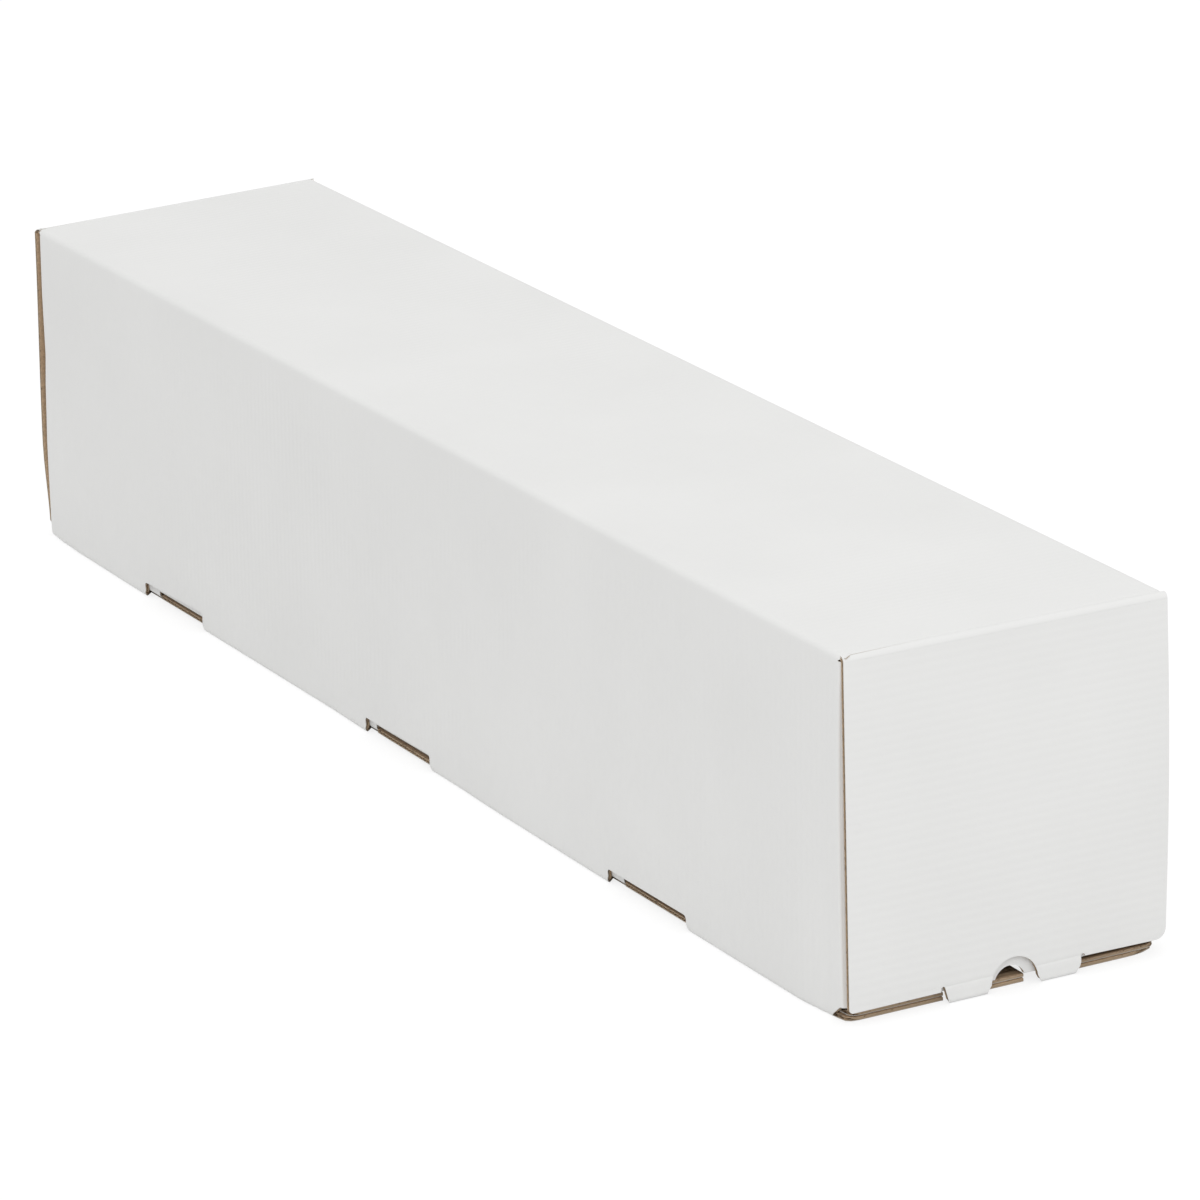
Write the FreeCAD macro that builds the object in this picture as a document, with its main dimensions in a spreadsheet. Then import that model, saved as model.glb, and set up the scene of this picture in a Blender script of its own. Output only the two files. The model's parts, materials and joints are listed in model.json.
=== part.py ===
"""Square mailing tube folded from one blank of thin corrugated board, in millimetres.

X runs along the tube with the near end at +X, Y runs across it with the slotted long
side at -Y, and Z is up from the surface that the tube stands on.
"""
import FreeCAD, Part
import os

Vector = FreeCAD.Vector
X, Y, Z = Vector(1, 0, 0), Vector(0, 1, 0), Vector(0, 0, 1)

DRIVING_SIZES = [
    ("tube_length", 630.0, "over both closed end flaps"),
    ("tube_width", 125.0, "over both long sides"),
    ("tube_height", 129.0, "underside of the outer bottom panel to the top"),
    ("board", 1.5, "thickness of the corrugated board"),
    ("layer_gap", 0.2, "air between two layers of the same sheet"),
    ("flap_gap", 0.3, "air between an end flap and the sheet behind it"),
    ("slot_length", 52.0, "slot along the front lower crease"),
    ("slot_rise", 5.3, "slot above the lower crease, in the front side"),
    ("slot_inset", 4.5, "slot inside the lower crease, in the outer bottom"),
    ("slot_pitch", 189.5, "between slot centres"),
    ("slot_shift", -6.0, "middle slot from the tube's middle"),
    ("lock_length", 42.8, "lock tab along X"),
    ("lock_clearance", 0.4, "lock tab to the near end of its slot"),
    ("lock_recess", 1.0, "lock tab's end behind the front face"),
    ("end_setback", 1.5, "bottom panels' end edge behind the end flap's face"),
    ("bottom_corner", 7.0, "corner radius of the bottom panels in plan"),
    ("tongue_width", 12.6, "tongue between the two end notches"),
    ("notch_width", 22.8, "end notch of the bottom panels"),
    ("notch_depth", 19.0, "end notch along X"),
    ("dust_end_gap", 4.5, "dust flap's free edge short of the opposite side"),
    ("dust_clearance", 0.8, "dust flap below the top panel"),
    ("arch_radius", 6.5, "thumb arch in a dust flap"),
    ("arch_top", 8.0, "top of that arch above the surface"),
    ("arch_shift", 1.0, "arch from the middle, toward +Y"),
    ("flap_side_gap", 0.1, "end flap inside the tube's width, each side"),
    ("flap_edge", 6.4, "end flap's lower edge above the surface"),
    ("flap_corner", 4.0, "end flap's lower corner radius"),
    ("thumb_radius", 9.2, "thumb notch in the end flap's lower edge"),
    ("thumb_drop", 4.1, "centre of the thumb notch below that edge"),
    ("hook_width", 17.0, "tab on the end flap's lower edge"),
    ("hook_space", 19.0, "between the two tabs"),
    ("hook_shift", 2.0, "middle of the two tabs, toward +Y"),
    ("hook_reach", 11.0, "tab's tip behind the end flap's face"),
    ("relief_radius", 0.8, "round cut at a tab's outer root"),
]

DERIVED_SIZES = [
    ("half_length", "=tube_length / 2"),
    ("half_width", "=tube_width / 2"),
    ("inner_half", "=tube_width / 2 - board"),
    ("roof_z", "=tube_height - board"),
    ("floor_z", "=2 * board + layer_gap"),
    ("layer_z", "=board + layer_gap"),
    ("panel_end", "=tube_length / 2 - board - flap_gap"),
    ("front_end", "=tube_length / 2 - 2 * board - flap_gap - layer_gap"),
    ("bottom_end", "=tube_length / 2 - end_setback"),
]

doc = FreeCAD.newDocument("mailing_tube")
sheet = doc.addObject("Spreadsheet::Sheet", "Sizes")


def fill_sheet():
    """Write the driving and the derived sizes, each with its alias."""
    row = 1
    for name, value, note in DRIVING_SIZES:
        sheet.set(f"A{row}", name)
        sheet.set(f"B{row}", str(value))
        sheet.set(f"C{row}", note)
        sheet.setAlias(f"B{row}", name)
        row += 1
    for name, formula in DERIVED_SIZES:
        sheet.set(f"A{row}", name)
        sheet.set(f"B{row}", formula)
        sheet.setAlias(f"B{row}", name)
        row += 1
    doc.recompute()


ALIASES = sorted((row[0] for row in DRIVING_SIZES + DERIVED_SIZES), key=len, reverse=True)


def bound(text):
    """Turn words such as board + layer_gap into references to the sheet."""
    words = text.replace("(", " ( ").replace(")", " ) ").split()
    return " ".join("Sizes." + word if word in ALIASES else word for word in words)


def put(obj, x, y, z):
    """Bind the place of an object to the sheet."""
    for axis, text in zip("xyz", (x, y, z)):
        obj.setExpression(f"Placement.Base.{axis}", bound(text))


def mirrored(side, inner, outer):
    """A span from inner to outer, on the positive or the negative side."""
    if side > 0:
        return inner, outer
    return f"- ( {outer} )", f"- ( {inner} )"


def both(extent):
    """A span to the same extent on both sides of zero."""
    return f"- ( {extent} )", extent


def block(name, x, y, z):
    """A box between three spans of expressions."""
    obj = doc.addObject("Part::Box", name)
    put(obj, x[0], y[0], z[0])
    for prop, (low, high) in zip(("Length", "Width", "Height"), (x, y, z)):
        obj.setExpression(prop, bound(f"( {high} ) - ( {low} )"))
    return obj


def round_bar(name, axis, centre, radius, length):
    """A full cylinder that starts at centre and runs along axis."""
    obj = doc.addObject("Part::Cylinder", name)
    obj.Placement.Rotation = FreeCAD.Rotation(Z, axis)
    put(obj, *centre)
    obj.setExpression("Radius", bound(radius))
    obj.setExpression("Height", bound(length))
    return obj


def crease(name, start, end, corner, length):
    """A quarter round of board thickness, turning from direction start to end."""
    obj = doc.addObject("Part::Cylinder", name)
    obj.Placement.Rotation = FreeCAD.Rotation(start, end, start.cross(end), "ZXY")
    obj.Angle = 90
    put(obj, *corner)
    obj.setExpression("Radius", bound("board"))
    obj.setExpression("Height", bound(length))
    return obj


def fuse(name, parts):
    """One solid from touching parts."""
    obj = doc.addObject("Part::MultiFuse", name)
    obj.Shapes = parts
    obj.Refine = True
    return obj


def cut(name, base, tools):
    """The base less one or more tools."""
    tool = tools[0] if len(tools) == 1 else fuse(name + "_tools", tools)
    obj = doc.addObject("Part::Cut", name)
    obj.Base, obj.Tool = base, tool
    return obj


ENDS = (("near", 1), ("far", -1))


def slots():
    """The three slots along the front lower crease, through side and bottom."""
    tools = []
    for place in (-1, 0, 1):
        middle = f"slot_shift + ( {place} ) * slot_pitch"
        span = (f"{middle} - slot_length / 2", f"{middle} + slot_length / 2")
        tools.append(block(f"slot_side_{place + 2}", span,
                           ("- half_width - 1", "- inner_half + layer_gap / 2"),
                           ("- 1", "slot_rise")))
        tools.append(block(f"slot_bottom_{place + 2}", span,
                           ("- half_width - 1", "- half_width + slot_inset"),
                           ("- 1", "board + layer_gap / 2")))
    return tools


def lock_tabs():
    """The inner bottom panel's three tabs, each toward the near end of its slot."""
    tabs = []
    for place in (-1, 0, 1):
        right = f"slot_shift + ( {place} ) * slot_pitch + slot_length / 2 - lock_clearance"
        tabs.append(block(f"lock_tab_{place + 2}", (f"{right} - lock_length", right),
                          ("- half_width + lock_recess", "- inner_half + 1"),
                          ("layer_z", "floor_z")))
    return tabs


def plan_outline(name, low, high):
    """A column that holds the bottom panels' rounded plan."""
    parts = [
        block(name + "_long", both("bottom_end"), both("half_width - bottom_corner"), (low, high)),
        block(name + "_wide", both("bottom_end - bottom_corner"), both("half_width"), (low, high)),
    ]
    for end, side in ENDS:
        for hand, across in (("back", 1), ("front", -1)):
            centre = (f"( {side} ) * ( bottom_end - bottom_corner )",
                      f"( {across} ) * ( half_width - bottom_corner )", low)
            parts.append(round_bar(f"{name}_{end}_{hand}", Z, centre, "bottom_corner",
                                   f"( {high} ) - ( {low} )"))
    return fuse(name, parts)


def end_notches(name):
    """Two open notches beside the tongue, at both ends of the bottom panels."""
    tools = []
    for end, side in ENDS:
        for hand, across in (("back", 1), ("front", -1)):
            tools.append(block(
                f"{name}_{end}_{hand}",
                mirrored(side, "bottom_end - notch_depth", "bottom_end + 1"),
                mirrored(across, "tongue_width / 2", "tongue_width / 2 + notch_width"),
                ("- 1", "floor_z + 1")))
    return tools


def bottom_panel(name, parts):
    """Trim fused bottom parts to the rounded plan and open the end notches."""
    trimmed = doc.addObject("Part::MultiCommon", name + "_trimmed")
    trimmed.Shapes = [fuse(name + "_flat", parts),
                      plan_outline(name + "_plan", "- 1", "floor_z + 1")]
    return cut(name, trimmed, end_notches(name + "_notch"))


def outer_bottom():
    """Outer bottom panel with half of the front lower crease."""
    return bottom_panel("outer_bottom", [
        block("outer_bottom_sheet", both("bottom_end"),
              ("- inner_half", "half_width - layer_gap"), ("0", "board")),
        crease("front_lower_crease", -Y, -Z,
               ("- front_end", "- inner_half", "board"), "2 * front_end"),
    ])


def inner_bottom():
    """Inner bottom panel, lying on the outer one, with the back lower crease."""
    return bottom_panel("inner_bottom", [
        block("inner_bottom_sheet", both("bottom_end"),
              ("- inner_half + layer_gap", "inner_half"), ("layer_z", "floor_z")),
        crease("back_lower_crease", -Z, Y,
               ("- panel_end", "inner_half", "floor_z"), "2 * panel_end"),
    ])


def top_panel():
    """Top panel with both long upper creases."""
    return [
        block("top_sheet", both("panel_end"), both("inner_half"), ("roof_z", "tube_height")),
        crease("front_upper_crease", Z, -Y,
               ("- panel_end", "- inner_half", "roof_z"), "2 * panel_end"),
        crease("back_upper_crease", Y, Z,
               ("- panel_end", "inner_half", "roof_z"), "2 * panel_end"),
    ]


def long_side(hand, across, reach, low):
    """One long side between its creases; reach is its folded end along X."""
    return block(f"{hand}_side", both(f"{reach} - board"),
                 mirrored(across, "inner_half", "half_width"), (low, "roof_z"))


def dust_flap(end, side, hand, across, reach):
    """A dust flap across one end, with its corner crease and thumb arch."""
    name = f"{end}_{hand}_dust"
    low, high = "floor_z + layer_gap", "roof_z - dust_clearance"
    sheet_part = block(name + "_sheet", mirrored(side, f"{reach} - board", reach),
                       mirrored(across, "- inner_half + dust_end_gap", "inner_half"), (low, high))
    outward, sideways = X * side, Y * across
    turn = (outward, sideways) if side * across > 0 else (sideways, outward)
    corner = crease(name + "_crease", *turn,
                    (f"( {side} ) * ( {reach} - board )", f"( {across} ) * inner_half", low),
                    f"( {high} ) - ( {low} )")
    arch = round_bar(name + "_arch", X,
                     (mirrored(side, f"{reach} - board - 1", f"{reach} + 1")[0],
                      "arch_shift", "arch_top - arch_radius"), "arch_radius", "board + 2")
    return cut(name, fuse(name + "_fold", [sheet_part, corner]), [arch])


def tube_shell():
    """The folded sheet without its end flaps, as one solid."""
    outer = fuse("outer_fold", top_panel() + [
        long_side("front", -1, "front_end", "board"), outer_bottom()])
    parts = [cut("slotted_fold", outer, slots()),
             long_side("back", 1, "panel_end", "floor_z"), inner_bottom()]
    parts += lock_tabs()
    for end, side in ENDS:
        parts.append(dust_flap(end, side, "front", -1, "front_end"))
        parts.append(dust_flap(end, side, "back", 1, "panel_end"))
    return fuse("tube_shell", parts)


def hook(end, side, hand, across):
    """A tab below the end flap's edge, bent inward at the surface."""
    name = f"{end}_hook_{hand}"
    span = mirrored(across, "hook_space / 2", "hook_space / 2 + hook_width")
    span = tuple(f"hook_shift + ( {edge} )" for edge in span)
    turn = (X, -Z) if side > 0 else (-Z, -X)
    return [
        block(name + "_web", mirrored(side, "half_length - board", "half_length"), span,
              ("board", "flap_edge + flap_corner")),
        crease(name + "_bend", *turn,
               (f"( {side} ) * ( half_length - board )", span[0], "board"), "hook_width"),
        block(name + "_tip", mirrored(side, "half_length - hook_reach", "half_length - board"),
              span, ("0", "board")),
    ]


def flap_cutters(end, side):
    """Thumb notch and the round reliefs at the tabs' outer roots."""
    start = mirrored(side, "half_length - board - 1", "half_length + 1")[0]
    tools = [round_bar(f"{end}_thumb", X, (start, "hook_shift", "flap_edge - thumb_drop"),
                       "thumb_radius", "board + 2")]
    for hand, across in (("back", 1), ("front", -1)):
        root = f"hook_shift + ( {across} ) * ( hook_space / 2 + hook_width + relief_radius / 2 )"
        tools.append(round_bar(f"{end}_relief_{hand}", X, (start, root, "flap_edge"),
                               "relief_radius", "board + 2"))
    return tools


def end_flap(end, side):
    """An end flap from its upper crease down to its two tabs."""
    width = "half_width - flap_side_gap"
    sheet_span = mirrored(side, "half_length - board", "half_length")
    turn = (Z, X) if side > 0 else (-X, Z)
    parts = [
        block(f"{end}_flap_upper", sheet_span, both(width), ("flap_edge + flap_corner", "roof_z")),
        block(f"{end}_flap_lower", sheet_span, both(f"{width} - flap_corner"),
              ("flap_edge", "flap_edge + flap_corner")),
        crease(f"{end}_flap_crease", *turn,
               (f"( {side} ) * ( half_length - board )", f"- ( {width} )", "roof_z"),
               f"2 * ( {width} )"),
    ]
    for hand, across in (("back", 1), ("front", -1)):
        parts.append(round_bar(
            f"{end}_flap_corner_{hand}", X,
            (sheet_span[0], f"( {across} ) * ( {width} - flap_corner )", "flap_edge + flap_corner"),
            "flap_corner", "board"))
        parts += hook(end, side, hand, across)
    return cut(f"{end}_end_flap", fuse(f"{end}_flap_sheet", parts), flap_cutters(end, side))


def save(pieces):
    """Recompute, check every object and write one STEP file per piece."""
    doc.recompute()
    for obj in doc.Objects:
        if "Invalid" in obj.State or "Error" in obj.State:
            raise RuntimeError(f"{obj.Name} did not recompute: {obj.State}")
    os.makedirs("parts", exist_ok=True)
    for piece in pieces:
        piece.Label = piece.Name
        shape = piece.Shape
        if shape.isNull() or not shape.isValid() or len(shape.Solids) != 1:
            raise RuntimeError(f"{piece.Name} is not one valid solid")
        shape.exportStep(f"parts/{piece.Label}.step")


fill_sheet()
save([tube_shell()] + [end_flap(end, side) for end, side in ENDS])
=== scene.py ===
"""Square mailing tube of white-faced corrugated board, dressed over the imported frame.

The board is modelled flat, as liner, fluted medium and liner, and is then folded by a
formula, so each cut edge shows its flutes. Lengths are in millimetres up to the mesh.
"""
import bisect
import json
import math

import bmesh
import bpy
import numpy as np
from mathutils import Matrix, Vector

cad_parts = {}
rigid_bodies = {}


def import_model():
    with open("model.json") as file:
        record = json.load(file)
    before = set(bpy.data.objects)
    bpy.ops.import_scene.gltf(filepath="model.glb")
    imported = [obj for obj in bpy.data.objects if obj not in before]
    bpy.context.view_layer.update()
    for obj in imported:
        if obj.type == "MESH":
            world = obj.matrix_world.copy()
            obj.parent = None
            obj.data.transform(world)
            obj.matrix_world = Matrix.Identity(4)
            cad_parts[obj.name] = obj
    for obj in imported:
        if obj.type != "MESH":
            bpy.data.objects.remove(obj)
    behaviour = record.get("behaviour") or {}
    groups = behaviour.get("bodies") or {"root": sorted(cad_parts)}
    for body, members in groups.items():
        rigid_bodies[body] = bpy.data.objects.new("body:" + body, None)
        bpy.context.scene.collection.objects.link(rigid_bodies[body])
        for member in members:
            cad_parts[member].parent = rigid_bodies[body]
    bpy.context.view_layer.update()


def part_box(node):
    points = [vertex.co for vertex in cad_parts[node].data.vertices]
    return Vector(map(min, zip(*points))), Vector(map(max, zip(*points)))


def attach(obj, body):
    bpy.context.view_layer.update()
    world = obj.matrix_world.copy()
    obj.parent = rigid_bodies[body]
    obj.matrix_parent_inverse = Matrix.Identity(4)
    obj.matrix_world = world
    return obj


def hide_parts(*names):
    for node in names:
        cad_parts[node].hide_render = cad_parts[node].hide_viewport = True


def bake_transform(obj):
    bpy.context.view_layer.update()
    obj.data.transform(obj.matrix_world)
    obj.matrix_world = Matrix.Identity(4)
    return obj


for leftover in list(bpy.data.objects):
    bpy.data.objects.remove(leftover)
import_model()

MM = 0.001
SHELL_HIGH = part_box("tube_shell")[1]
HALF_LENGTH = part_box("near_end_flap")[1].x / MM
HALF_WIDTH = SHELL_HIGH.y / MM
HEIGHT = SHELL_HIGH.z / MM

BOARD = 1.5
LAYER_GAP = 0.2
FLAP_GAP = 0.3
FOLD = 2.0
QUARTER = math.pi / 2 * FOLD

LINER = 0.28
MEDIUM = 0.16
FLUTE_PITCH = 3.2
FLUTE_SAMPLES = 6

SLOT_INSET = 4.5
# Each slot's left and right end and its height at both, then the left end of its lock
# tab and how far the tab's tip stays back at both ends
SLOTS = [(-221.2, -170.5, 6.2, 7.6, -211.0, 2.2, 2.1),
         (-31.2, 19.2, 6.3, 6.5, -24.8, 1.8, 1.2),
         (155.2, 209.8, 5.7, 5.7, 164.4, 2.0, 1.8)]
# How much longer a slot is at the crease and in the bottom panel, at its left and right
SLOT_FLARE = ((0.8, 4.0), (2.0, 4.0))
SLOT_CORNERS = (1.2, 1.6)
TAB_CLEARANCE, TAB_CUT = 0.4, 0.5
TUCK_HEIGHT, TUCK_END = 24.0, 298.0
BOTTOM_END = 311.5
NOTCH_ENDS, NOTCH_DEPTH = ((-24.0, -6.3), (7.7, 29.3)), 17.0
# How large the cut at a side's lower corner is at each end, against a full one
NEAR_RELIEF, FAR_RELIEF = 1.0, 0.15
DUST_END_GAP, DUST_CLEARANCE, DUST_CORNER = 4.5, 0.8, 6.0
ARCH_RADIUS, ARCH_TOP, ARCH_SHIFT = 6.2, 8.0, 1.2
ARCH_GROWTH = 1.8
HOLLOW_RIM, SLOT_MARGIN = 3.5, 8.0
FLAP_SIDE_GAP, TAB_CREASE = 0.1, 6.4
THUMB_RADIUS, THUMB_CENTRE = 9.2, (2.0, 2.3)
TIP_REACH, RELIEF = 11.0, 0.8

TOP_END = HALF_LENGTH - FOLD
BACK_END = HALF_LENGTH - BOARD - FLAP_GAP
FRONT_END = BACK_END - BOARD - LAYER_GAP
FLOOR = 2 * BOARD + LAYER_GAP
INNER_LEVEL = BOARD + LAYER_GAP
# A crushed edge: how deep it reaches, how far the liners move on their outer and inner
# faces, and how soon the flutes are filled
PINCH = 1.2
PINCH_OUTER, PINCH_INNER, PINCH_FILL = 0.22, 0.14, 1.6


def arc(centre, radius, start, end, steps=8):
    """Points along an arc, from start to end in degrees."""
    angles = np.radians(np.linspace(start, end, steps + 1))
    return [(centre[0] + radius * math.cos(a), centre[1] + radius * math.sin(a)) for a in angles]


class Sheet:
    """Flat board cut by a plan of closed loops, built up layer by layer."""

    def __init__(self, loops, rows, columns):
        self.loops = loops
        self.rows = sorted({round(r, 4) for r in rows})
        self.columns = columns
        self.verts, self.faces, self.kinds = [], [], []
        self.keys = {}

    def layer(self, name, depths, kinds, columns=(), holes=()):
        """One closed layer between two depths, each a function of u."""
        loops = [[(round(u, 4), round(v, 4)) for u, v in loop] for loop in self.loops + list(holes)]
        edges = [(loop[i - 1], loop[i]) for loop in loops for i in range(len(loop))
                 if loop[i - 1] != loop[i]]
        corners = {u for loop in loops for u, v in loop}
        low, high = min(corners), max(corners)
        extra = {round(u, 4) for u in (*self.columns, *columns) if low < u < high}
        lines = sorted(corners | extra)
        marks = {u: set() for u in lines}
        for loop in loops:
            for u, v in loop:
                marks[u].add(v)
        sloped = sorted((min(p[0], q[0]), max(p[0], q[0]), p, q) for p, q in edges if p[0] != q[0])
        for left, right in zip(lines, lines[1:]):
            middle = (left + right) / 2
            spanning = [(self.at(p, q, middle), p, q) for a, b, p, q in sloped if a < middle < b]
            spanning.sort()
            for below, above in zip(spanning[::2], spanning[1::2]):
                self.strip(name, left, right, below[1:], above[1:], marks, depths, kinds)
        for p, q in edges:
            self.wall(name, p, q, lines, marks, depths, kinds[2])

    @staticmethod
    def at(p, q, u):
        """The place across at u on the edge from p to q."""
        if u == p[0]:
            return p[1]
        if u == q[0]:
            return q[1]
        return p[1] + (q[1] - p[1]) * (u - p[0]) / (q[0] - p[0])

    def crossings(self, p, q, left, right):
        """Where the rows cross an edge between two columns, from left to right."""
        if p[1] == q[1]:
            return []
        ends = self.at(p, q, left), self.at(p, q, right)
        inside = self.rows[bisect.bisect_right(self.rows, min(ends)):
                           bisect.bisect_left(self.rows, max(ends))]
        return sorted((p[0] + (q[0] - p[0]) * (r - p[1]) / (q[1] - p[1]), r) for r in inside)

    def risers(self, u, low, high, marks):
        """The rows and corners on a column between two heights."""
        inside = set(self.rows[bisect.bisect_right(self.rows, low):bisect.bisect_left(self.rows, high)])
        inside |= {v for v in marks[u] if low < v < high}
        return [(u, v) for v in sorted(inside)]

    def strip(self, name, left, right, below, above, marks, depths, kinds):
        """The board between two columns and two edges, cut by the rows."""
        a, b = self.at(*below, left), self.at(*below, right)
        c, d = self.at(*above, right), self.at(*above, left)
        ring = [(left, a)] + self.crossings(*below, left, right) + [(right, b)]
        ring += self.risers(right, b, c, marks)
        ring += [(right, c)] + self.crossings(*above, left, right)[::-1] + [(left, d)]
        ring += self.risers(left, a, d, marks)[::-1]
        low, high = min(a, b), max(c, d)
        cuts = [low] + self.rows[bisect.bisect_right(self.rows, low):
                                 bisect.bisect_left(self.rows, high)] + [high]
        for base, top in zip(cuts, cuts[1:]):
            cell = [point for point in ring if base <= point[1] <= top]
            for face in (0, 1):
                corners = [self.vertex(name, face, u, v, depths[face](u)) for u, v in cell]
                self.add(corners[::-1] if face else corners, kinds[face])

    def wall(self, name, p, q, lines, marks, depths, kind):
        """The cut edge of one layer along one edge of the plan."""
        if p[0] == q[0]:
            low, high = sorted((p[1], q[1]))
            points = [(p[0], low)] + self.risers(p[0], low, high, marks) + [(p[0], high)]
        else:
            low, high = sorted((p[0], q[0]))
            stops = lines[bisect.bisect_left(lines, low):bisect.bisect_right(lines, high)]
            points = sorted([(u, self.at(p, q, u)) for u in stops] + self.crossings(p, q, low, high))
        for (u0, v0), (u1, v1) in zip(points, points[1:]):
            self.add([self.vertex(name, 0, u0, v0, depths[0](u0)),
                      self.vertex(name, 0, u1, v1, depths[0](u1)),
                      self.vertex(name, 1, u1, v1, depths[1](u1)),
                      self.vertex(name, 1, u0, v0, depths[1](u0))], kind)

    def vertex(self, layer, face, u, v, n):
        """A shared vertex of one face of one layer."""
        key = (layer, face, round(u, 3), round(v, 3))
        if key not in self.keys:
            self.keys[key] = len(self.verts)
            self.verts.append((u, v, n))
        return self.keys[key]

    def add(self, corners, kind):
        """A face with repeated corners dropped."""
        face = [i for k, i in enumerate(corners) if i != corners[k - 1]]
        if len(set(face)) > 2:
            self.faces.append(face)
            self.kinds.append(kind)

    def board(self, holes=(), crushed=()):
        """Outer liner, fluted medium and inner liner.

        The medium is left out of the holes. An edge cut along the flutes, at a u in
        crushed, is pinched and filled as the cutting die leaves it.
        """
        corners = [u for loop in self.loops for u, v in loop]
        step = FLUTE_PITCH / FLUTE_SAMPLES
        first, last = (math.ceil(end / step) for end in (min(corners), max(corners)))
        flutes = [k * step for k in range(first, last)]
        middle, swing = BOARD / 2, BOARD / 2 - LINER - MEDIUM / 2
        self.columns = [*self.columns, *(e + side * PINCH * k for e in crushed
                                         for side in (-1, 1) for k in (0.25, 0.6, 1.0))]

        def crush(u):
            near = min((abs(u - e) for e in crushed), default=PINCH)
            return max(0.0, 1 - near / PINCH) ** 1.5

        def filled(u, surface, wavy):
            share = min(1.0, PINCH_FILL * crush(u))
            return surface * share + wavy * (1 - share)

        def wave(u):
            return middle + swing * math.sin(2 * math.pi * u / FLUTE_PITCH)

        self.layer("outer", (lambda u: PINCH_OUTER * crush(u),
                             lambda u: LINER + PINCH_INNER * crush(u)), (WHITE, KRAFT, WHITE_CUT))
        self.layer("inner", (lambda u: BOARD - LINER - PINCH_INNER * crush(u),
                             lambda u: BOARD - PINCH_OUTER * crush(u)), (KRAFT, KRAFT, KRAFT_CUT))
        low, high = LINER + PINCH_INNER, BOARD - LINER - PINCH_INNER
        self.layer("medium", (lambda u: filled(u, low, wave(u) - MEDIUM / 2),
                              lambda u: filled(u, high, wave(u) + MEDIUM / 2)),
                   (MEDIUM_PAPER, MEDIUM_PAPER, MEDIUM_PAPER), columns=flutes, holes=holes)

    def build(self, name, fold):
        """The folded mesh object; fold maps flat u, v, depth to millimetres."""
        flat = np.array(self.verts)
        placed = np.array([fold(*point) for point in self.verts]) * MM
        mesh = bpy.data.meshes.new(name)
        mesh.from_pydata(placed.tolist(), [], self.faces)
        for material in BOARD_MATERIALS:
            mesh.materials.append(material)
        mesh.polygons.foreach_set("material_index", self.kinds)
        uv = mesh.uv_layers.new(name="flat")
        corners = np.empty(len(mesh.loops), dtype=np.int32)
        mesh.loops.foreach_get("vertex_index", corners)
        uv.data.foreach_set("uv", (flat[corners, :2] / 100).ravel())
        welded = bmesh.new()
        welded.from_mesh(mesh)
        bmesh.ops.recalc_face_normals(welded, faces=welded.faces)
        welded.to_mesh(mesh)
        welded.free()
        mesh.polygons.foreach_set("use_smooth", [True] * len(mesh.polygons))
        mesh.validate()
        mesh.update()
        mesh.set_sharp_from_angle(angle=math.radians(35))
        obj = bpy.data.objects.new(name, mesh)
        bpy.context.scene.collection.objects.link(obj)
        return obj


WHITE, KRAFT, WHITE_CUT, KRAFT_CUT, MEDIUM_PAPER = range(5)


def node_material(name):
    """A new material, its node tree, and its shader."""
    material = bpy.data.materials.new(name)
    material.use_nodes = True
    nodes = material.node_tree.nodes
    return material, material.node_tree, nodes["Principled BSDF"]


def linked(tree, kind, **inputs):
    """A node whose inputs are values or other nodes' sockets."""
    node = tree.nodes.new(kind)
    for name, value in inputs.items():
        socket = node.inputs[name.replace("_", " ")]
        if isinstance(value, bpy.types.NodeSocket):
            tree.links.new(value, socket)
        else:
            socket.default_value = value
    return node


def mix_colour(tree, factor, first, second):
    """A colour between two, by a factor socket."""
    node = tree.nodes.new("ShaderNodeMix")
    node.data_type = "RGBA"
    tree.links.new(factor, node.inputs[0])
    for socket, value in ((node.inputs[6], first), (node.inputs[7], second)):
        if isinstance(value, bpy.types.NodeSocket):
            tree.links.new(value, socket)
        else:
            socket.default_value = (*value, 1.0)
    return node.outputs[2]


def ramp(tree, value, low, high):
    """A value mapped to 0 at low and 1 at high."""
    node = linked(tree, "ShaderNodeMapRange", Value=value)
    node.inputs["From Min"].default_value = low
    node.inputs["From Max"].default_value = high
    return node.outputs["Result"]


def noise(tree, vector, scale, detail=3.0):
    """Noise at a scale, between 0 and 1."""
    node = linked(tree, "ShaderNodeTexNoise", Vector=vector, Scale=scale, Detail=detail)
    return node.outputs["Fac"]


def flute_height(tree, flat):
    """The washboard of the flutes under the liner, from the flat sheet's own u."""
    split = linked(tree, "ShaderNodeSeparateXYZ", Vector=flat)
    turns = tree.nodes.new("ShaderNodeMath")
    turns.operation = "MULTIPLY"
    tree.links.new(split.outputs["X"], turns.inputs[0])
    turns.inputs[1].default_value = 2 * math.pi * 100 / FLUTE_PITCH
    sine = tree.nodes.new("ShaderNodeMath")
    sine.operation = "SINE"
    tree.links.new(turns.outputs[0], sine.inputs[0])
    return sine.outputs[0]


def bumped(tree, height, distance, strength, normal=None):
    """A bump node's normal."""
    node = linked(tree, "ShaderNodeBump", Height=height, Distance=distance, Strength=strength)
    if normal is not None:
        tree.links.new(normal, node.inputs["Normal"])
    return node.outputs["Normal"]


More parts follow.
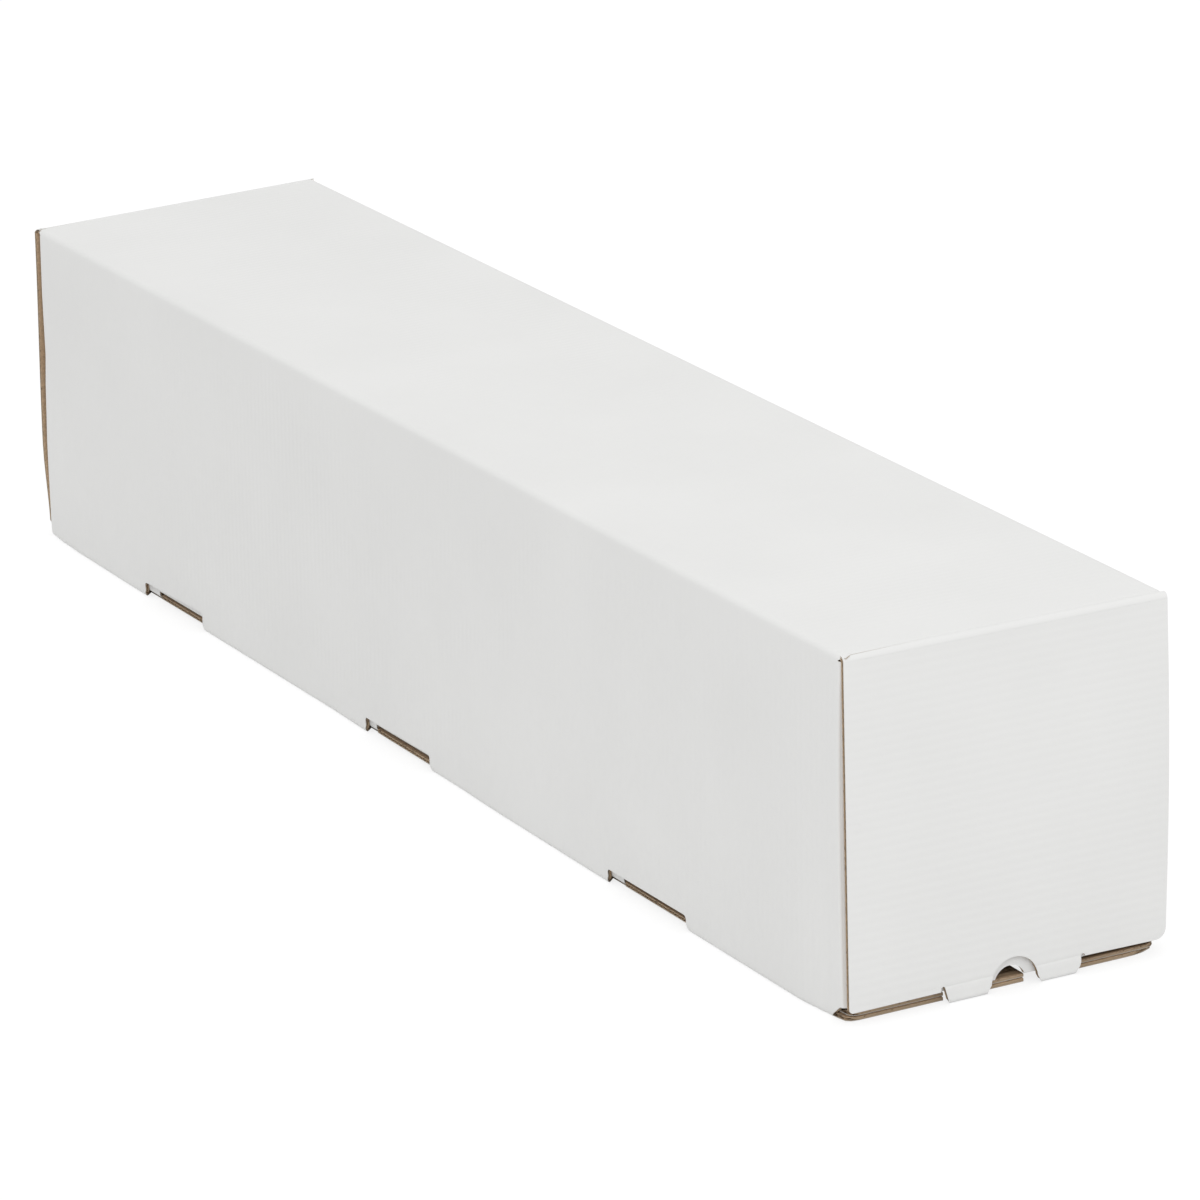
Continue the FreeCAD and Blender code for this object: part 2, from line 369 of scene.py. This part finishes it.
def paper(name, light, dark, roughness, flute_depth, fibre_depth, speck=None, spots=(900.0, 0.35, 0.72)):
    """Board liner: mottled colour, fibres and the flutes showing through."""
    material, tree, shader = node_material(name)
    coords = tree.nodes.new("ShaderNodeTexCoord")
    place, flat = coords.outputs["Object"], coords.outputs["UV"]
    clouds = ramp(tree, noise(tree, place, 14.0), 0.3, 0.7)
    colour = mix_colour(tree, clouds, dark, light)
    if speck is not None:
        scale, low, high = spots
        grain = ramp(tree, noise(tree, place, scale, 2.0), low, high)
        colour = mix_colour(tree, grain, colour, speck)
    tree.links.new(colour, shader.inputs["Base Color"])
    shader.inputs["Roughness"].default_value = roughness
    shader.inputs["Specular IOR Level"].default_value = 0.3
    flutes = bumped(tree, flute_height(tree, flat), flute_depth * MM, 1.0)
    fibres = bumped(tree, noise(tree, place, 1400.0, 4.0), fibre_depth * MM, 1.0, flutes)
    tree.links.new(fibres, shader.inputs["Normal"])
    return material


BOARD_MATERIALS = [
    paper("white_liner", (0.80, 0.80, 0.79), (0.775, 0.775, 0.765), 0.6, 0.02, 0.012),
    paper("kraft_liner", (0.66, 0.475, 0.31), (0.56, 0.39, 0.245), 0.8, 0.09, 0.03,
          speck=(0.47, 0.33, 0.21)),
    paper("white_cut_edge", (0.56, 0.53, 0.48), (0.46, 0.42, 0.37), 0.8, 0.0, 0.05),
    paper("kraft_cut_edge", (0.52, 0.40, 0.28), (0.40, 0.30, 0.205), 0.85, 0.0, 0.06,
          speck=(0.10, 0.075, 0.055), spots=(520.0, 0.56, 0.66)),
    paper("medium_paper", (0.44, 0.33, 0.22), (0.34, 0.25, 0.165), 0.85, 0.0, 0.05),
]


def turn_rows(start):
    """Rows across one quarter fold."""
    return [start + QUARTER * k / 5 for k in range(6)]


def straight_rows(start, end, count):
    """Evenly spaced rows inside a flat stretch."""
    return [start + (end - start) * k / count for k in range(1, count)]


# Flat places along the girth, from the outer bottom's free edge to the tuck flap's top
REACH = HALF_WIDTH - FOLD
TUCK_FACE = HALF_WIDTH - BOARD - LAYER_GAP
BOTTOM_FREE = HALF_WIDTH - LAYER_GAP
V_FRONT_LOW = BOTTOM_FREE + REACH
V_FRONT = V_FRONT_LOW + QUARTER
V_FRONT_TOP = V_FRONT + HEIGHT - 2 * FOLD
V_TOP = V_FRONT_TOP + QUARTER
V_TOP_BACK = V_TOP + 2 * REACH
V_BACK = V_TOP_BACK + QUARTER
V_BACK_LOW = V_BACK + HEIGHT - 2 * FOLD - INNER_LEVEL
V_INNER = V_BACK_LOW + QUARTER
V_TUCK = V_INNER + REACH + TUCK_FACE - FOLD
V_TUCK_UP = V_TUCK + QUARTER
V_TUCK_TOP = V_TUCK_UP + TUCK_HEIGHT
TAB_REACH = HALF_WIDTH - TUCK_FACE + FOLD


def outer_v(y):
    """Flat place on the outer bottom panel."""
    return BOTTOM_FREE - y


def front_v(z):
    """Flat place on the front side."""
    return V_FRONT + z - FOLD


def back_v(z):
    """Flat place on the back side."""
    return V_BACK + (HEIGHT - FOLD) - z


def inner_v(y):
    """Flat place on the inner bottom panel."""
    return V_INNER + REACH - y


def turned(centre, angle, radius):
    """A point at a radius from a fold's centre."""
    return centre[0] + radius * math.cos(angle), centre[1] + radius * math.sin(angle)


def girth(v, n):
    """Y and Z of a point at flat place v and depth n, before the ends are folded."""
    if v < V_FRONT_LOW:
        return BOTTOM_FREE - v, n
    if v < V_FRONT:
        return turned((-REACH, FOLD), -math.pi / 2 - (v - V_FRONT_LOW) / FOLD, FOLD - n)
    if v < V_FRONT_TOP:
        return -HALF_WIDTH + n, FOLD + v - V_FRONT
    if v < V_TOP:
        return turned((-REACH, HEIGHT - FOLD), math.pi - (v - V_FRONT_TOP) / FOLD, FOLD - n)
    if v < V_TOP_BACK:
        return -REACH + v - V_TOP, HEIGHT - n
    if v < V_BACK:
        return turned((REACH, HEIGHT - FOLD), math.pi / 2 - (v - V_TOP_BACK) / FOLD, FOLD - n)
    if v < V_BACK_LOW:
        return HALF_WIDTH - n, HEIGHT - FOLD - (v - V_BACK)
    if v < V_INNER:
        return turned((REACH, INNER_LEVEL + FOLD), -(v - V_BACK_LOW) / FOLD, FOLD - n)
    if v < V_TUCK:
        return REACH - (v - V_INNER), INNER_LEVEL + n
    if v < V_TUCK_UP:
        return turned((FOLD - TUCK_FACE, INNER_LEVEL + FOLD),
                      -math.pi / 2 - (v - V_TUCK) / FOLD, FOLD - n)
    return -TUCK_FACE + n, INNER_LEVEL + FOLD + v - V_TUCK_UP


def smooth(x, low, high):
    """A soft step from 0 at low to 1 at high."""
    k = min(1.0, max(0.0, (x - low) / (high - low)))
    return k * k * (3 - 2 * k)


# How far the front side bows out along its lower crease: X, then the bow
SIDE_BOW = ((-313, 0.0), (-307, 0.7), (-300, 1.5), (-284, 2.1), (-227, 2.5), (-156, 1.9), (-62, 1.8),
            (-36, 2.3), (34, 1.7), (74, 2.5), (149, 2.8), (218, 2.3), (286, 2.2), (297, 1.2), (302, 0.5),
            (313, 0.0))
# The front side's near end edge: how far it flares at the top and draws in below
NEAR_FLARE, NEAR_WAIST = 2.3, 0.7
# How far the front side's far end edge stands out past its plane: Z, then X
FAR_EDGE = ((0, 4.2), (12, 4.2), (36, 4.6), (57, 3.8), (79, 2.0), (100, 2.7), (129, 2.2))
# How far the four top corners stand off square: along Y and along Z
CORNER_SLACK = {(0, 0): (0.4, -0.3), (0, 1): (-1.2, 2.0), (1, 0): (-0.4, 0.7), (1, 1): (0.6, -0.1)}


def along_table(table, place):
    """A value between the two nearest places of a table, blended softly."""
    (low, first), (high, last) = next(((a, b) for a, b in zip(table, table[1:]) if place < b[0]),
                                      (table[-2], table[-1]))
    return first + (last - first) * smooth(place, low, high)


def settle(x, y, z):
    """The slack that every piece shares: the four top corners off square."""
    along = min(1.0, max(0.0, 0.5 + x / HALF_LENGTH / 2))
    across = min(1.0, max(0.0, 0.5 + y / HALF_WIDTH / 2))
    up = min(1.0, max(0.0, z / HEIGHT))
    for (far, back), (dy, dz) in CORNER_SLACK.items():
        share = up * (along if far else 1 - along) * (across if back else 1 - across)
        y += share * dy
        z += share * dz
    return x, y, z


def slacken(x, y, z):
    """The shell's own slack: its bowed front side and its uneven end folds."""
    beside = smooth(-y, 20, 58)
    y -= along_table(SIDE_BOW, x) * beside * (1 - min(1.0, z / HEIGHT)) ** 0.7
    edge = smooth(abs(x), 290, 308) * smooth(-y, 57, 62)
    if x > 0:
        x += edge * (NEAR_FLARE * math.exp(-(HEIGHT - z) / 18)
                     - NEAR_WAIST * math.sin(math.pi * min(1.0, z / 115)))
    else:
        x -= edge * along_table(FAR_EDGE, z)
    return settle(x, y, z)


def fold_shell(u, v, n):
    """Fold one point of the flat shell."""
    side = math.copysign(1.0, u)
    front = v < V_TOP
    past = abs(u) - (FRONT_END if front else BACK_END) + FOLD
    if past > 0 and (front_v(FLOOR) < v < V_FRONT_TOP or V_BACK < v < back_v(FLOOR)):
        across = -1.0 if front else 1.0
        z = v - V_FRONT + FOLD if front else HEIGHT - FOLD - (v - V_BACK)
        end = abs(u) - past
        if past < QUARTER:
            x, y = turned((end, REACH), math.pi / 2 - past / FOLD, FOLD - n)
        else:
            x, y = end + FOLD - n, REACH - (past - QUARTER)
        return slacken(side * x, across * y, z)
    for left, right, _, _, tab_left, back_left, back_right in SLOTS:
        tab_right = right - TAB_CLEARANCE
        if tab_left - 0.01 < u < tab_right + 0.01 and V_TUCK < v:
            share = (u - tab_left) / (tab_right - tab_left)
            if v < V_TUCK + TAB_REACH - back_left * (1 - share) - back_right * share + 0.01:
                return slacken(u, REACH - (v - V_INNER), INNER_LEVEL + n)
    y, z = girth(v, n)
    return slacken(u, y, z)


def notch_edge(to_v):
    """An end of a bottom panel: its notches and the tongue between them."""
    notch_bottom = BOTTOM_END - NOTCH_DEPTH
    points = []
    for low, high in NOTCH_ENDS:
        points += [(BOTTOM_END, to_v(low)), (notch_bottom, to_v(low)),
                   (notch_bottom, to_v(high)), (BOTTOM_END, to_v(high))]
    return points[::-1]


def dust_edge(to_v, end, top_first):
    """The outline of one dust flap, from its lower to its upper edge.

    The front flap lies behind the back one, and its arch is the larger of the two.
    """
    growth = 0.0 if top_first else ARCH_GROWTH
    radius, top = ARCH_RADIUS + growth, ARCH_TOP + growth
    start = end - FOLD
    free = start + QUARTER + REACH + HALF_WIDTH - BOARD - DUST_END_GAP
    root, low, high = 5.3, 3.9, HEIGHT - BOARD - DUST_CLEARANCE
    across = 1 if top_first else -1
    middle = start + QUARTER + REACH - across * ARCH_SHIFT
    centre_z = top - radius
    half = math.sqrt(radius ** 2 - (low - centre_z) ** 2)
    swing = math.degrees(math.atan2(low - centre_z, half))
    points = [(start, root), (start + 30, root), (middle - half - 7, low), (middle - half, low)]
    points += arc((middle, centre_z), radius, 180 - swing, swing, 14)[1:-1]
    points += [(middle + half, low), (middle + half + 6, low + 0.4)]
    points += arc((free - DUST_CORNER, low + 0.4 + DUST_CORNER), DUST_CORNER, -90, 0, 6)
    points += arc((free - DUST_CORNER, high - DUST_CORNER), DUST_CORNER, 0, 90, 6)
    points += [(start, high)]
    points = [(u, to_v(z)) for u, z in points]
    return points[::-1] if top_first else points


def shell_edge(relief):
    """One end's outline of the shell's blank, from its first to its last edge."""
    points = [(BOTTOM_END - 6, 0.0), (BOTTOM_END - 3.2, 2.0), (BOTTOM_END - 1.4, 6.0),
              (BOTTOM_END - 0.4, 10.0), (BOTTOM_END, 14.0)]
    points += notch_edge(outer_v)
    points += relief_points(V_FRONT_LOW, 1, front_v, relief)
    points += dust_edge(front_v, FRONT_END, False)
    points += [(FRONT_END - FOLD, V_FRONT_TOP), (TOP_END - 1.2, V_FRONT_TOP + QUARTER * 0.45),
               (TOP_END, V_FRONT_TOP + QUARTER * 0.6)]
    points += [(TOP_END, V_BACK - QUARTER * 0.6), (TOP_END - 1.2, V_BACK - QUARTER * 0.45),
               (BACK_END - FOLD, V_BACK)]
    points += dust_edge(back_v, BACK_END, True)
    points += relief_points(V_INNER, -1, back_v, 1.0)[::-1]
    points += notch_edge(inner_v)
    points += arc((BOTTOM_END - 6, V_TUCK - 4), 6, 0, 80, 5)
    points += [(TUCK_END, V_TUCK + 1.8), (TUCK_END - 7, V_TUCK_TOP - 5), (TUCK_END - 12, V_TUCK_TOP)]
    return points


def relief_points(flat_v, onward, side_v, size):
    """The V-shaped relief between a bottom panel's corner and a side's lower corner."""
    start = FRONT_END - FOLD - 6.0 * size
    return [(BOTTOM_END, flat_v - onward * 4.0), (BOTTOM_END - 0.9, flat_v - onward * 1.4),
            (BOTTOM_END - 2.2, flat_v), (start, flat_v + onward * 1.0),
            (start + 1.8 * size, side_v(1.4 + 0.5 * size) if onward > 0 else flat_v - 3.2),
            (start + 5.2 * size, side_v(2.0 + 2.7 * size))]


def slot_loop(left, right, rise_left, rise_right):
    """One slot across the front lower crease, rounded in its upper corners."""
    low = outer_v(-HALF_WIDTH + SLOT_INSET)
    crease = V_FRONT_LOW + 0.8
    (left_crease, left_low), (right_crease, right_low) = SLOT_FLARE
    corner_left, corner_right = SLOT_CORNERS
    points = [(left + 0.3, front_v(3.2)), (left - left_crease, crease), (left - left_low, low),
              (right + right_low, low), (right + right_crease, crease), (right, front_v(2.6))]
    points += arc((right - corner_right, front_v(rise_right) - corner_right), corner_right, 0, 90, 4)
    points += arc((left + corner_left, front_v(rise_left) - corner_left), corner_left, 90, 180, 4)
    return points


def tab_cut(left, right, back_left, back_right):
    """The cut that frees one lock tab from the tuck flap around it."""
    tip = V_TUCK + TAB_REACH
    return [(left - TAB_CUT, V_TUCK), (left, V_TUCK), (left, tip - back_left),
            (right, tip - back_right), (right, V_TUCK), (right + TAB_CUT, V_TUCK),
            (right + TAB_CUT, tip + TAB_CUT), (left - TAB_CUT, tip + TAB_CUT)]


def box_loop(left, right, low, high):
    """A rectangle as a closed loop."""
    return [(left, low), (right, low), (right, high), (left, high)]


def shell_hollows():
    """Parts of the shell too deep to see into, where the fluted medium is left out.

    The first loop is one large hollow. The boxes around the slots and the lock tabs lie
    in it and are filled again.
    """
    rim = HOLLOW_RIM
    bottom, upper = BOTTOM_END - NOTCH_DEPTH - rim, FRONT_END - 6
    slot_low, slot_high = outer_v(-HALF_WIDTH + SLOT_INSET) - rim, front_v(11)
    tuck_low, tuck_end = V_TUCK_UP + 4, TUCK_END - 16
    half = [(bottom, rim), (bottom, slot_high), (upper, slot_high), (upper, V_BACK_LOW),
            (bottom, V_BACK_LOW), (bottom, tuck_low), (tuck_end, tuck_low),
            (tuck_end, V_TUCK_TOP - 2.5)]
    hollows = [half + [(-u, v) for u, v in reversed(half)]]
    for left, right, *_ in SLOTS:
        left, right = left - SLOT_MARGIN, right + SLOT_MARGIN
        hollows += [box_loop(left, right, slot_low, slot_high),
                    box_loop(left, right, V_TUCK - rim, tuck_low)]
    for to_v, end in ((front_v, FRONT_END), (back_v, BACK_END)):
        low, high = sorted((to_v(ARCH_TOP + ARCH_GROWTH + rim), to_v(HEIGHT - 2 - rim)))
        for side in (-1, 1):
            left, right = sorted((side * (end + rim), side * (end + 2 * HALF_WIDTH - 18)))
            hollows.append(box_loop(left, right, low, high))
    return hollows


def tube_shell():
    """The folded sheet without its end flaps."""
    loops = [shell_edge(NEAR_RELIEF) + [(-u, v) for u, v in reversed(shell_edge(FAR_RELIEF))]]
    for left, end, rise_left, rise_right, tab_left, back_left, back_right in SLOTS:
        loops += [slot_loop(left, end, rise_left, rise_right),
                  tab_cut(tab_left, end - TAB_CLEARANCE, back_left, back_right)]
    rows = []
    for start in (V_FRONT_LOW, V_FRONT_TOP, V_TOP_BACK, V_BACK_LOW, V_TUCK):
        rows += [start - 1.5, start + QUARTER + 1.5] + turn_rows(start)
    for start, end, count in ((0, V_FRONT_LOW, 5), (V_FRONT, V_FRONT_TOP, 10),
                              (V_TOP, V_TOP_BACK, 4), (V_BACK, V_BACK_LOW, 5), (V_INNER, V_TUCK, 3)):
        rows += straight_rows(start, end, count)
    columns = [k * 15.0 for k in range(-29, 30)]
    for start in (FRONT_END - FOLD, BACK_END - FOLD):
        for k in range(7):
            columns += [start + QUARTER * k / 6, -(start + QUARTER * k / 6)]
    sheet = Sheet(loops, rows, columns)
    sheet.board(holes=shell_hollows(), crushed=[BOTTOM_END, -BOTTOM_END])
    return sheet.build("tube_shell_board", fold_shell)


TIP_FOLD = 1.6
TIP_QUARTER = math.pi / 2 * TIP_FOLD
FLAP_TOP = HEIGHT - FOLD
TIP_BEND = FLAP_TOP - TIP_FOLD
# How far the far flap stands out at its crease, how much more below, and how much less
# near the surface
FAR_TOP_STAND, FAR_STAND_MORE, FAR_STAND_LESS = 2.4, 2.4, 3.7
NEAR_BULGE = 1.0
FLAP_TABS = ((-25.2, -7.2), (11.2, 28.4))


def far_stand(z):
    """How far the far flap stands out past its plane, pushed by the dust flaps behind it."""
    return (FAR_TOP_STAND + FAR_STAND_MORE * smooth(HEIGHT - z, 0, 90)
            - FAR_STAND_LESS * smooth(38 - z, 0, 34))


def flap_point(side, x, y, z):
    """A flap's point with its slack: the far one stands out, the near one is a bit wider."""
    if any(low - 1 < y < high + 1 for low, high in FLAP_TABS):
        x += 0.07 * max(0.0, TAB_CREASE - max(z, 0))
        x -= 0.12 * math.exp(-((z - TAB_CREASE) / 0.5) ** 2)
    if side > 0:
        up = min(1.0, max(0.0, (z - 10) / (HEIGHT - 12)))
        y += NEAR_BULGE * math.sin(math.pi * up) * smooth(y, 25, 62)
    else:
        x += far_stand(z)
    return settle(side * x, y, z)


def fold_flap(side):
    """The fold for an end flap; flat u runs down from its crease, v across."""
    def fold(u, v, n):
        past = u - TIP_BEND
        if past <= 0:
            x, z = HALF_LENGTH - n, FLAP_TOP - u
        elif past < TIP_QUARTER:
            x, z = turned((HALF_LENGTH - TIP_FOLD, TIP_FOLD), -past / TIP_FOLD, TIP_FOLD - n)
        else:
            x, z = HALF_LENGTH - TIP_FOLD - (past - TIP_QUARTER), n
        return flap_point(side, x, v, z)
    return fold


def end_flap(end, side):
    """One end flap with its tabs, thumb notch and reliefs; the plan is in Y and Z."""
    half = HALF_WIDTH - FLAP_SIDE_GAP
    bend = TIP_FOLD
    tip = FLAP_TOP - (TIP_BEND + TIP_QUARTER + TIP_REACH - TIP_FOLD)
    thumb_y, thumb_z = THUMB_CENTRE
    plan = [(-half, FLAP_TOP)]
    plan += arc((-half + 1.6, 4.6 + 1.6), 1.6, 180, 270, 4)
    plan += [(-26.8, 4.8)] + arc((-26.0, 5.8), RELIEF, 180, 0, 8)
    plan += [(-23.9, 0.6), (-23.0, -0.4), (-16.5, tip), (-10.6, tip), (-8.4, bend)]
    plan += arc((thumb_y, thumb_z), THUMB_RADIUS, 175, 5, 20)
    plan += [(12.3, 0.8), (13.0, -0.4), (19.0, tip), (23.0, tip), (25.8, -0.4),
             (26.9, bend), (27.9, 2.8), (28.4, 4.2)]
    plan += arc((29.2, 6.1), RELIEF, 180, 0, 8) + [(30.0, 6.0)]
    plan += arc((half - 4.0, 5.6 + 4.0), 4.0, -90, 0, 6)
    plan += [(half, FLAP_TOP)]
    points = [(FLAP_TOP - z, y) for y, z in plan]
    columns = [k * 6.0 for k in range(22)] + [FLAP_TOP - TAB_CREASE + k * 0.5 for k in range(-3, 4)]
    columns += [TIP_BEND + TIP_QUARTER * k / 6 for k in range(7)]
    sheet = Sheet([points], [k * 10.0 for k in range(-6, 7)] + [-half + 2, half - 2], columns)
    rim = 8.0
    sheet.board(holes=[box_loop(rim, FLAP_TOP - THUMB_RADIUS - rim - 2, rim - half, half - rim)],
                crushed=[FLAP_TOP - tip])
    return sheet.build(f"{end}_flap_board", fold_flap(side))


def crease_strip(end, side):
    """The bent board between the top panel and an end flap."""
    half = HALF_WIDTH - FLAP_SIDE_GAP

    def fold(u, v, n):
        if u <= 0:
            x, z = TOP_END + u, HEIGHT - n
        elif u < QUARTER:
            x, z = turned((TOP_END, HEIGHT - FOLD), math.pi / 2 - u / FOLD, FOLD - n)
        else:
            x, z = HALF_LENGTH - n, HEIGHT - FOLD - (u - QUARTER)
        if side < 0:
            x += FAR_TOP_STAND * min(1.0, max(0.0, u / QUARTER)) ** 1.3
        return settle(side * x, v, z)

    loop = [(-0.02, -half), (QUARTER + 0.02, -half), (QUARTER + 0.02, half), (-0.02, half)]
    sheet = Sheet([loop], [k * 10.0 for k in range(-6, 7)], [QUARTER * k / 8 for k in range(9)])
    sheet.board()
    return sheet.build(f"{end}_flap_crease", fold)


shell = tube_shell()
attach(shell, "tube")
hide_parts("tube_shell")
for end, side in (("near", 1), ("far", -1)):
    flap = end_flap(end, side)
    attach(flap, f"{end}_flap")
    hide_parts(f"{end}_end_flap")
    strip = crease_strip(end, side)
    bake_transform(strip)


FLOOR_GLOW = 0.80
FLOOR_SHADE = 0.24
WORLD_LIGHT = 0.92


def camera_ray(tree):
    """1 for camera, glossy and see-through rays, 0 for the rest."""
    path = tree.nodes.new("ShaderNodeLightPath")
    seen = path.outputs["Is Camera Ray"]
    for kind in ("Is Glossy Ray", "Is Transmission Ray"):
        either = tree.nodes.new("ShaderNodeMath")
        either.operation = "MAXIMUM"
        tree.links.new(seen, either.inputs[0])
        tree.links.new(path.outputs[kind], either.inputs[1])
        seen = either.outputs[0]
    return seen


def floor():
    """A pale floor that shows white and keeps a faint shadow."""
    mesh = bpy.data.meshes.new("studio_floor")
    size = 40
    mesh.from_pydata([(-size, -size, 0), (size, -size, 0), (size, size, 0), (-size, size, 0)], [],
                     [(0, 1, 2, 3)])
    plane = bpy.data.objects.new("studio_floor", mesh)
    bpy.context.scene.collection.objects.link(plane)
    material, tree, shader = node_material("studio_floor_white")
    shader.inputs["Roughness"].default_value = 0.9
    shader.inputs["Specular IOR Level"].default_value = 0.0
    seen = camera_ray(tree)
    colour = mix_colour(tree, seen, (0.80, 0.80, 0.80), (FLOOR_SHADE, FLOOR_SHADE, FLOOR_SHADE))
    tree.links.new(colour, shader.inputs["Base Color"])
    shader.inputs["Emission Color"].default_value = (1, 1, 1, 1)
    glow = linked(tree, "ShaderNodeMapRange", Value=seen)
    glow.inputs["To Max"].default_value = FLOOR_GLOW
    tree.links.new(glow.outputs["Result"], shader.inputs["Emission Strength"])
    mesh.materials.append(material)


def world():
    """White to the camera, a plain soft light to everything else."""
    scene_world = bpy.data.worlds.new("studio_world")
    bpy.context.scene.world = scene_world
    scene_world.use_nodes = True
    tree = scene_world.node_tree
    background = tree.nodes["Background"]
    strength = linked(tree, "ShaderNodeMapRange", Value=camera_ray(tree))
    strength.inputs["To Min"].default_value = WORLD_LIGHT
    strength.inputs["To Max"].default_value = 1.0
    tree.links.new(strength.outputs["Result"], background.inputs["Strength"])
    background.inputs["Color"].default_value = (1, 1, 1, 1)


def lamp(name, place, target, size, power):
    """A square soft lamp."""
    data = bpy.data.lights.new(name, "AREA")
    data.size, data.energy = size, power
    obj = bpy.data.objects.new(name, data)
    obj.location = place
    obj.rotation_euler = (Vector(target) - Vector(place)).to_track_quat("-Z", "Y").to_euler()
    bpy.context.scene.collection.objects.link(obj)


def camera():
    """The photograph's camera, from a fit of the tube's corners."""
    data = bpy.data.cameras.new("photo_camera")
    data.sensor_width = 36.0
    data.lens = CAMERA_FOCAL_PX / 1200 * 36.0
    data.clip_end = 100
    obj = bpy.data.objects.new("photo_camera", data)
    azimuth, elevation, roll = (math.radians(a) for a in CAMERA_ANGLES)
    forward = Vector((-math.cos(azimuth) * math.cos(elevation),
                      math.sin(azimuth) * math.cos(elevation), -math.sin(elevation)))
    turn = forward.to_track_quat("-Z", "Y").to_matrix() @ Matrix.Rotation(roll, 3, "Z")
    obj.matrix_world = Matrix.Translation(Vector(CAMERA_PLACE)) @ turn.to_4x4()
    bpy.context.scene.collection.objects.link(obj)
    bpy.context.scene.camera = obj


CAMERA_FOCAL_PX = 6969.7
CAMERA_ANGLES = (28.5069, 18.5485, -1.5029)
CAMERA_PLACE = (2.15837, -1.15332, 0.86971)

floor()
world()
lamp("key_soft", (2.4, -0.9, 2.2), (0.1, 0, 0.05), 1.6, 17)
camera()
bpy.context.scene.view_settings.view_transform = "Standard"
